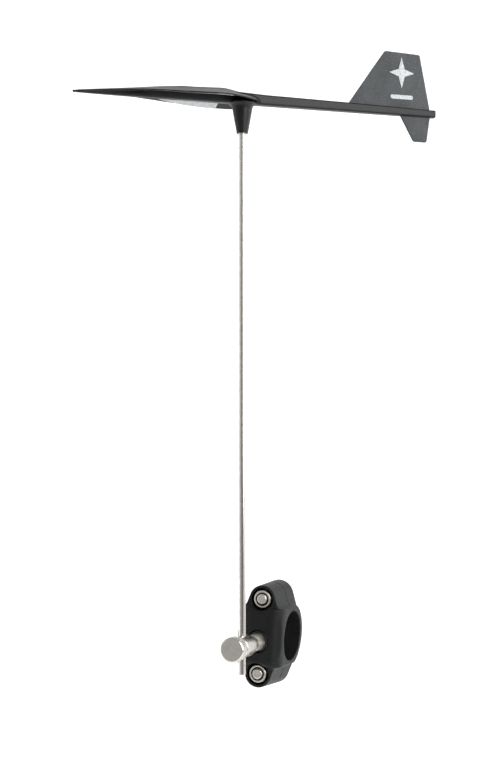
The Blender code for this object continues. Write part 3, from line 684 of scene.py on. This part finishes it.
# The same on the stud's nut, duller: its flats catch light from the side
matt_fastener = tumbled_steel("nut", "stud", HERE, rough=0.45)
# Hardened bearing steel, polished: grey, with small sharp highlights
bearing_steel = ground_steel("hardened steel, polished", "#B9B9BC", mark=0.3, depth=0.004, rough=0.16)
# Steel bar, blackened: nearly black with dull lines
dark_steel = ground_steel("steel bar, blackened", "#35373A", mark=0.5, depth=0.004, rough=0.40)
# Pad-printed vinyl ink: pale grey, matt, a little worn
ink = printed("vinyl ink, pad printed", "#C6CACC", "#9DA2A5", grain=1.1, rough=0.55)
# Retroreflective film: silver grey under a clear coat, with a fine bead pattern
reflective = beaded_film("retroreflective film, glass beads", "#C9CCCE", "#9A9DA0")


# ---------------------------------------------------------------- tube clamp
def lug_wall(x, y, z):
    """Distance from the lugs' outline: an arc of a radius that tapers with x, then tangents that spread.

    Beyond the tangent point it is hypot(|y|, |z| - bolt) - radius, and below it |y| cos f +
    (|z| - bolt) sin f - radius, f being the flare.
    """
    share = (x - LUG_REAR) / (LUG_FRONT - LUG_REAR)
    radius = LUG_REAR_RADIUS + share * (LUG_FRONT_RADIUS - LUG_REAR_RADIUS)
    across, up = np.abs(y), np.abs(z) - BOLT_Z
    arc = np.hypot(across, up) - radius
    tangent = across * math.cos(LUG_FLARE) + up * math.sin(LUG_FLARE) - radius
    past = up * math.cos(LUG_FLARE) - across * math.sin(LUG_FLARE) > 0.0
    return both(np.where(past, arc, tangent), across - LUG_HALF_WIDTH, 1.0)


def front_half(x, y, z):
    """The lug plate and the boss that carries the stud, less the bore, bolt holes and nut seats."""
    split = GAP / 2.0
    lug = both(lug_wall(x, y, z), x - LUG_FRONT, 0.5)
    side = both(np.abs(z) - BOSS_HALF_HEIGHT, x - BOSS_FRONT, BOSS_EDGE)
    across, back = BOSS_HALF_WIDTH - BOSS_FLAT, BOSS_FRONT - BOSS_SHOULDER
    arc = (across ** 2 + back ** 2) / (2.0 * back)
    crown = np.hypot(np.maximum(x - (BOSS_FRONT - arc), 0.0), np.maximum(np.abs(y) - BOSS_FLAT, 0.0)) - arc
    boss = both(side, both(np.abs(y) - BOSS_HALF_WIDTH, crown, 1.2), 1.3)
    body = either(lug, boss, 2.0)
    body = without(body, np.hypot(x, z) - TUBE_RADIUS, 0.5)
    for bolt in (BOLT_Z, -BOLT_Z):
        from_bolt = np.hypot(y, z - bolt)
        body = without(body, both(from_bolt - NUT_RECESS_RADIUS, NUT_SEAT - x, 0.0), 0.3)
        body = without(body, from_bolt - BOLT_HOLE_RADIUS, 0.2)
    from_stud = np.hypot(y, z - STUD_Z)
    body = without(body, from_stud - (STUD_RADIUS + GAP), 0.2)
    body = without(body, both(from_stud - STUD_SEAT_RADIUS, STUD_SEAT - x, 0.0), 0.35)
    head_seat = TUBE_RADIUS + 2.2
    body = without(body, both(from_stud - (STUD_HEAD_RADIUS + GAP), x - head_seat, 0.0), 0.15)
    return both(body, split - x, 0.25)


def rear_half(x, y, z):
    """The lug plate and the strap round the back of the tube, less the bore and the bolt holes."""
    split = GAP / 2.0
    lug = both(lug_wall(x, y, z), LUG_REAR - x, 0.7)
    strap = both(np.hypot(x, z) - REAR_RADIUS, np.abs(z) - BOSS_HALF_HEIGHT, 0.8)
    strap = both(strap, np.abs(y) - BOSS_HALF_WIDTH, 1.3)
    body = either(lug, strap, 2.0)
    body = without(body, np.hypot(x, z) - TUBE_RADIUS, 0.5)
    for bolt in (BOLT_Z, -BOLT_Z):
        from_bolt = np.hypot(y, z - bolt)
        body = without(body, from_bolt - BOLT_HOLE_RADIUS, 0.2)
        angle = np.arctan2(z - bolt, y)
        off = np.mod(angle, math.pi / 3.0) - math.pi / 6.0
        pocket = from_bolt * np.cos(off) - (BOLT_HEAD_FLATS / 2.0 + GAP)
        body = without(body, both(pocket, x - (LUG_REAR + BOLT_HEAD_SINK), 0.0), 0.3)
    return both(body, x + split, 0.25)


def bolt_blank():
    """A hex bolt's profile from head to end, and the rim that cuts its hexagon and its thread."""
    seat = LUG_REAR + BOLT_HEAD_SINK - 0.1
    head = seat - BOLT_HEAD_HEIGHT
    corner = BOLT_HEAD_FLATS / math.sqrt(3.0)
    bolt = soften([(head, CORE), (head, corner - 1.1), (head + 0.45, corner), (seat, corner),
                   (seat, BOLT_RADIUS), (BOLT_END - 0.6, BOLT_RADIUS),
                   (BOLT_END - 0.05, BOLT_RADIUS - 0.55), (BOLT_END, BOLT_RADIUS - 0.9),
                   (BOLT_END - 0.12, CORE)], 0.18)
    return ridged(bolt, 0.13), threaded(BOLT_PITCH, BOLT_THREAD_DEPTH, 4.0, BOLT_END - 0.25, BOLT_HEAD_FLATS)


def nut_blanks():
    """Profiles of a lock nut, hexagon below and round collar above, and of the ring in its counterbore."""
    base = NUT_SEAT + SEAT_GAP
    top = base + NUT_HEIGHT
    shoulder = base + NUT_HEX_HEIGHT
    corner = NUT_FLATS / math.sqrt(3.0)
    collar = NUT_FLATS / 2.0 - 0.03
    inner = BOLT_RADIUS + 0.15
    well = BOLT_RADIUS + 0.75
    floor = top - 1.0 - INSERT_HEIGHT
    nut = soften([(base, inner + 0.3), (base, NUT_FLATS / 2.0 - 0.1), (base + 0.4, corner),
                  (shoulder - 0.45, corner), (shoulder, collar + 0.1), (shoulder + 0.15, collar),
                  (top - 0.32, collar), (top, collar - 0.28), (top, well + 0.05), (floor, well),
                  (floor, inner), (base + 0.3, inner)], 0.3, closed=True)
    nut = ridged(np.vstack([nut, nut[:1]]), 0.3)[:-1]
    grip, low = BOLT_RADIUS + 0.12, top - 0.9 - INSERT_HEIGHT
    ring = soften([(low, grip), (low, well - 0.1), (top - 0.6, well - 0.1), (top - 0.75, grip)],
                  0.15, closed=True)
    return nut, ring


def build_clamp():
    """Both halves, their bolts and lock nuts, the headed stud and its washer."""
    tall = BOLT_Z + LUG_REAR_RADIUS
    wide = BOSS_HALF_WIDTH
    make("Clamp_Front", moulded(front_half, (0.0, -wide, -tall), (BOSS_FRONT, wide, tall), CLAMP_CELL),
         "clamp", HERE, clamp_nylon, "clamp", ["clamp_front"])
    make("Clamp_Rear", moulded(rear_half, (-REAR_RADIUS, -wide, -tall), (0.0, wide, tall), CLAMP_CELL),
         "clamp", HERE, clamp_nylon, "rear_half", ["clamp_rear"])

    bolt, bolt_rim = bolt_blank()
    nut, ring = nut_blanks()
    for label, z, steel, body in (("Upper", BOLT_Z, upper_fastener, "upper_nut"),
                                  ("Lower", -BOLT_Z, lower_fastener, "lower_nut")):
        name = label.lower()
        make("Bolt_" + label, lathe(bolt, rim=bolt_rim), "clamp", (0.0, 0.0, z), steel, "rear_half",
             ["bolt_" + name])
        make("Lock_Nut_" + label, lathe(nut, rim=hexed(NUT_FLATS, 15.0), columns=96, closed=True), "clamp",
             (0.0, 0.0, z), steel, body, ["nut_" + name])
        # The ring's black is painted shade for the hollow inside the nut's collar
        make("Nut_Ring_" + label, lathe(ring, closed=True), "clamp", (0.0, 0.0, z), acetal_black_and_shade, body,
             ["nut_insert_" + name])

    head = TUBE_RADIUS + 0.5
    stud = soften([(head, CORE), (head, STUD_HEAD_RADIUS - 0.1), (head + 0.2, STUD_HEAD_RADIUS),
                   (head + 1.4, STUD_HEAD_RADIUS), (head + 1.4, STUD_RADIUS), (STUD_END - 0.5, STUD_RADIUS),
                   (STUD_END, STUD_RADIUS - 0.5), (STUD_END, CORE)], 0.12)
    stud_rim = threaded(STUD_PITCH, 0.24, STUD_THREAD_START, STUD_END - 0.2)
    make("Swivel_Stud", lathe(ridged(stud, 0.11), rim=stud_rim), "clamp", (0.0, 0.0, STUD_Z),
         turned_stainless, "clamp", ["swivel_stud"])
    low = STUD_SEAT + SEAT_GAP
    bore = STUD_RADIUS + GAP
    washer = soften([(low, bore), (low, WASHER_RADIUS), (low + WASHER_THICKNESS, WASHER_RADIUS),
                     (low + WASHER_THICKNESS, bore)], 0.3, closed=True)
    # The washer's black is partly its own colour and partly painted shade round the stud's nut
    make("Stud_Washer", lathe(washer, closed=True), "clamp", (0.0, 0.0, STUD_Z), acetal_black_and_shade, "clamp",
         ["stud_washer"])


# ---------------------------------------------------------------- rod holder and thumb screw
def holder_barrel(x, y, z):
    """A stepped barrel drilled along its axis for the stud and the screw, and across it for the rod."""
    from_axis = np.hypot(y, z)
    middle_x, half = (HOLDER_REAR + HOLDER_FRONT) / 2.0, (HOLDER_FRONT - HOLDER_REAR) / 2.0
    barrel = both(from_axis - HOLDER_RADIUS, np.abs(x - middle_x) - half, 0.5)
    neck_rear = STUD_NUT_FRONT + SEAT_GAP
    neck_middle = (neck_rear + HOLDER_REAR) / 2.0
    neck = both(from_axis - HOLDER_NECK_RADIUS, np.abs(x - neck_middle) - 4.6, 0.3)
    neck = np.maximum(neck, neck_rear - x)
    body = either(barrel, neck, 0.4)
    body = without(body, both(from_axis - (STUD_RADIUS + FIT), x - STUD_END - 1.0, 0.0), 0.15)
    body = without(body, both(from_axis - (SCREW_RADIUS + FIT), ROD_X - x, 0.0), 0.15)
    return without(body, np.hypot(x - ROD_X, y) - (ROD_RADIUS + FIT), 0.25)


def knurled(along, r, angle):
    """Straight teeth round the knob's rim: r - depth |cos(teeth a / 2)|, fading at both ends."""
    rear_fade = np.clip((along - KNOB_REAR - 0.7) / 0.4, 0.0, 1.0)
    front_fade = np.clip((KNOB_FRONT - 0.8 - along) / 0.4, 0.0, 1.0)
    teeth = TOOTH_DEPTH * np.abs(np.cos(KNOB_TEETH * angle / 2.0))
    return r - teeth * (rear_fade * front_fade) * (r > SCREW_RADIUS + 0.5)


def build_holder():
    """The stud's long nut, the cross-drilled barrel, the thumb screw and the pad it presses on the rod."""
    corner = STUD_NUT_FLATS / math.sqrt(3.0)
    inner = STUD_RADIUS + FIT
    rear, end = STUD_NUT_REAR, STUD_NUT_FRONT
    nut = soften([(rear, inner), (rear, corner - 0.55), (rear + 0.3, corner), (end - 0.3, corner),
                  (end, corner - 0.55), (end, inner)], 0.15, closed=True)
    nut = ridged(np.vstack([nut, nut[:1]]), 0.3)[:-1]
    make("Stud_Nut", lathe(nut, rim=hexed(STUD_NUT_FLATS, 0.0, 0.15), columns=96, closed=True), "stud", HERE,
         matt_fastener, "holder", ["stud_nut"])
    low = (STUD_NUT_FRONT, -HOLDER_RADIUS, -HOLDER_RADIUS)
    high = (HOLDER_FRONT, HOLDER_RADIUS, HOLDER_RADIUS)
    make("Rod_Holder", moulded(holder_barrel, low, high, HOLDER_CELL), "stud", HERE, turned_stainless,
         "holder", ["rod_holder"])

    tip = SCREW_RADIUS - 0.4
    pad_rear = ROD_X + ROD_RADIUS + 0.12
    pad = soften([(pad_rear, CORE), (pad_rear, tip), (ROD_X + PAD_FRONT, tip), (ROD_X + PAD_FRONT, CORE)],
                 0.2)
    make("Pressure_Pad", lathe(pad, columns=40), "stud", HERE, white_nylon, "pad", ["pressure_pad"])
    stem = ROD_X + 3.8
    face = KNOB_RADIUS - 0.7
    screw = soften([(ROD_X + SCREW_TIP, CORE), (ROD_X + SCREW_TIP, tip), (stem, SCREW_RADIUS),
                    (KNOB_REAR, SCREW_RADIUS), (KNOB_REAR, face), (KNOB_REAR + 0.7, KNOB_RADIUS),
                    (KNOB_FRONT - 0.7, KNOB_RADIUS), (KNOB_FRONT, face), (KNOB_FRONT, CORE)], 0.3)
    screw = ridged(screw, 0.25)
    thread = threaded(STUD_PITCH, 0.2, stem, KNOB_REAR - 0.2)

    def rim(along, r, angle):
        """Thread on the stem and teeth on the knob."""
        return knurled(along, thread(along, r, angle), angle)

    make("Thumb_Screw", lathe(screw, columns=KNOB_TEETH * 6, rim=rim), "stud", HERE, turned_stainless,
         "screw", ["thumb_screw"])


# ---------------------------------------------------------------- rod and bearing
def build_rod():
    """The rod with its clip groove, the needle in its top and the clip that keeps the vane on."""
    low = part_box("rod")[0][2] / MM - UNDERSIDE
    groove = ROD_RADIUS - 0.45
    groove_low, groove_high = CLIP_HEIGHT - 0.45, CLIP_HEIGHT + 0.45
    well = ROD_TOP - NEEDLE_DEPTH - FIT
    rod = soften([(low, CORE), (low, ROD_RADIUS - 0.5), (low + 0.5, ROD_RADIUS), (groove_low, ROD_RADIUS),
                  (groove_low, groove), (groove_high, groove), (groove_high, ROD_RADIUS),
                  (ROD_TOP - 0.4, ROD_RADIUS), (ROD_TOP, ROD_RADIUS - 0.4), (ROD_TOP, NEEDLE_RADIUS + FIT),
                  (well, NEEDLE_RADIUS + FIT), (well, CORE)], 0.15)
    make("Rod", lathe(rod, "Z", 96), "rod", HERE, rod_steel, "rod", ["rod"])
    foot = ROD_TOP - NEEDLE_DEPTH
    needle = soften([(foot, CORE), (foot, NEEDLE_RADIUS), (NEEDLE_TIP - 1.6, NEEDLE_RADIUS),
                     (NEEDLE_TIP, 0.08), (NEEDLE_TIP, CORE)], 0.08)
    make("Pivot_Needle", lathe(needle, "Z", 40), "rod", HERE, bearing_steel, "rod", ["pivot_needle"])
    low, high = CLIP_HEIGHT - 0.3, CLIP_HEIGHT + 0.3
    inner, outer = groove + FIT, ROD_RADIUS + 0.3
    clip = soften([(low, inner), (low, outer), (high, outer), (high, inner)], 0.1, closed=True)
    make("Retaining_Clip", lathe(clip, "Z", 48, closed=True), "rod", HERE, bearing_steel, "rod",
         ["retaining_clip"])


# ---------------------------------------------------------------- vane
def track(table, window):
    """Each column of a table as a smooth function of s.

    Straight between stations, then averaged under a hat-shaped window so that no kink shows.
    """
    pace = 0.25
    s = np.arange(table[0, 0], table[-1, 0] + pace, pace)
    reach = int(window / pace)
    hat = 1.0 - np.abs(np.arange(-reach, reach + 1)) / (reach + 1.0)
    hat /= hat.sum()
    columns = []
    for column in table.T[1:]:
        line = np.interp(s, table[:, 0], column)
        padded = np.pad(line, reach, mode="reflect", reflect_type="odd")
        columns.append(np.convolve(padded, hat, "valid"))

    def at(where):
        return [np.interp(where, s, column) for column in columns]
    return at


spine_at = track(SPINE, 3.0)
wings_at = track(WINGS, 2.0)


def wing_heights(s, reach):
    """Top and underside of a wing, reach being |u| over the half width: straight from ridge to edge."""
    _, edge, ridge = wings_at(s)
    thick = np.minimum(SKIN, 0.5 * ridge)
    top = ridge + (edge + 0.6 * thick - ridge) * reach
    under = (ridge - thick) + (edge - ridge + thick) * reach
    return top, under


def arm(s, u, h):
    """Spine, drooped wings and hub in one moulding, less the bearing bore, fin slot and weight slot."""
    half, low, high = spine_at(s)
    tall = (high - low) / 2.0
    edge = 0.42 * np.minimum(half, tall)
    spine = both(np.abs(u) - half, np.abs(h - (high + low) / 2.0) - tall, edge)
    spine = both(spine, np.maximum(TAIL - s, s - TIP), 0.35)
    wing_half = wings_at(s)[0]
    top, under = wing_heights(s, np.abs(u) / np.maximum(wing_half, 0.8))
    wing = both(both(h - top, under - h, 0.25), np.abs(u) - wing_half, 0.3)
    wing = both(wing, np.maximum(WINGS[0, 0] - s, s - WINGS[-1, 0]), 0.2)
    body = either(spine, wing, 0.7)
    from_axis = np.hypot(s, u)
    hub = (from_axis - np.interp(h, HUB_PROFILE[:, 0], HUB_PROFILE[:, 1])) * 0.8
    hub = both(hub, np.maximum(HUB_LOW - h, h - HUB_TOP), 0.35)
    body = either(body, hub, 0.8)
    bore = np.minimum(np.maximum(from_axis - BUSH_BORE, h - CUP_BOTTOM),
                      np.maximum(from_axis - CUP_BORE, h - CUP_TOP - 0.2))
    body = without(body, bore, 0.2)
    floor = np.where(s > SLOT_THROUGH, SLOT_FLOOR, -2.0)
    ends = np.maximum(s - SLOT_FRONT - np.maximum(h - SLOT_FLOOR, 0.0), SLOT_REAR - s)
    slot = np.maximum(np.abs(u) - FIN_SLOT / 2.0, ends)
    body = without(body, np.maximum(slot, floor - h), 0.1)
    front, back = WEIGHT_SPAN[1] + 0.2, WEIGHT_SPAN[0] - 0.2
    pocket = np.maximum(np.abs(u) - WEIGHT_HALF_WIDTH - 0.15, np.maximum(s - front, back - s))
    return without(body, np.maximum(pocket, h - WEIGHT_HEIGHT - 0.2), 0.1)


def tape(side):
    """A long triangle of film under one wing: a strip between two lines that meet ahead at its nose.

    u runs from just outside the keel to 0.5 mm inside the wing's edge, drawing in towards the nose as
    1 - (share of the length passed)^5; h is the wing's underside less the glue gap.
    """
    s = np.linspace(TAPE_REAR, TAPE_NOSE, 60)[:, None]
    wing_half = wings_at(s)[0]
    inner = spine_at(s)[0] + 0.6
    left = (s - TAPE_NOSE) / (TAPE_REAR - TAPE_NOSE)
    outer = inner + 1.0 + (wing_half - 0.5 - inner - 1.0) * (1.0 - (1.0 - left) ** 5)
    across = np.linspace(0.0, 1.0, 9)
    share = np.concatenate([across, across[::-1]])[None]
    layer = np.concatenate([np.zeros(9), np.ones(9)])[None]
    u = inner + (outer - inner) * share
    under = wing_heights(s, u / wing_half)[1]
    h = under - 1.3 * (STICK_GAP + PRINT_THICKNESS * layer)
    return skin(np.stack([np.broadcast_to(s, u.shape), side * u, h], -1), flat_ends=True)


def star():
    """Four slim points: radius alternates between the star's radius and its waist every 45 degrees."""
    turn = np.radians(90.0 + 45.0 * np.arange(8))
    radius = STAR_RADIUS * np.where(np.arange(8) % 2 == 0, 1.0, STAR_WAIST)
    return np.stack([STAR_CENTRE[0] + STAR_SQUEEZE * radius * np.cos(turn),
                     STAR_CENTRE[1] + radius * np.sin(turn)], -1)


def bar():
    """A short bar with round ends."""
    reach, end = (BAR_SIZE[0] - BAR_SIZE[1]) / 2.0, BAR_SIZE[1] / 2.0
    turn = np.radians(np.linspace(-90.0, 90.0, 13))
    right = np.stack([BAR_CENTRE[0] + reach + end * np.cos(turn), BAR_CENTRE[1] + end * np.sin(turn)], -1)
    left = np.stack([BAR_CENTRE[0] - reach - end * np.cos(turn), BAR_CENTRE[1] - end * np.sin(turn)], -1)
    return np.vstack([right, left])


def build_vane():
    """The arm, the fin with its prints, the tapes, the balance weight and the bearing parts."""
    wide, tall = WINGS[:, 1].max(), WINGS[:, 3].max()
    make("Vane_Arm", moulded(arm, (TAIL, -wide, HUB_LOW), (TIP, wide, tall), ARM_CELL),
         "vane", HERE, vane_plastic, "vane", ["vane_arm"], 40.0)
    half = FIN_THICKNESS / 2.0
    make("Tail_Fin", plate(soften(FIN_OUTLINE, 1.0, closed=True), -half, half, 0.3), "vane", HERE,
         fin_plastic, "vane", ["tail_fin"])
    for label, side in (("Port", 1.0), ("Starboard", -1.0)):
        name = label.lower()
        make("Reflector_" + label, tape(side), "vane", HERE, reflective, "vane", ["reflector_" + name])
        near = side * (half + STICK_GAP)
        far = near + side * PRINT_THICKNESS
        low, high = min(near, far), max(near, far)
        make("Star_Print_" + label, plate(soften(star(), 0.25, closed=True), low, high, 0.03), "vane", HERE,
             ink, "vane", ["star_print_" + name])
        make("Bar_Print_" + label, plate(bar(), low, high, 0.03), "vane", HERE, ink, "vane",
             ["bar_print_" + name])
    low, high = WEIGHT_SPAN
    weight = soften([(low, 0.1), (high, 0.1), (high, WEIGHT_HEIGHT), (low, WEIGHT_HEIGHT)], 0.4, closed=True)
    make("Nose_Weight", plate(weight, -WEIGHT_HALF_WIDTH, WEIGHT_HALF_WIDTH, 0.15), "vane", HERE,
         dark_steel, "vane", ["nose_weight"])
    mouth = CUP_BOTTOM + 0.1
    cup = soften([(mouth, 1.2), (mouth, CUP_RADIUS), (CUP_TOP, CUP_RADIUS), (CUP_TOP, 0.35), (-0.3, 0.35),
                  (-0.5, 0.25)], 0.1, closed=True)
    make("Pivot_Cup", lathe(cup, "Z", 56, closed=True), "vane", HERE, bearing_steel, "vane", ["pivot_cup"])
    low, inner, outer = HUB_LOW + 0.2, ROD_RADIUS + 0.09, BUSH_BORE - 0.1
    bush = soften([(low, inner), (low, outer), (BUSH_TOP, outer), (BUSH_TOP, inner)], 0.15, closed=True)
    make("Guide_Bush", lathe(bush, "Z", 56, closed=True), "vane", HERE, white_nylon, "vane", ["guide_bush"])


bpy.context.scene.view_settings.view_transform = "Standard"
look_from()
light_room()
build_room()
build_clamp()
build_holder()
build_rod()
build_vane()
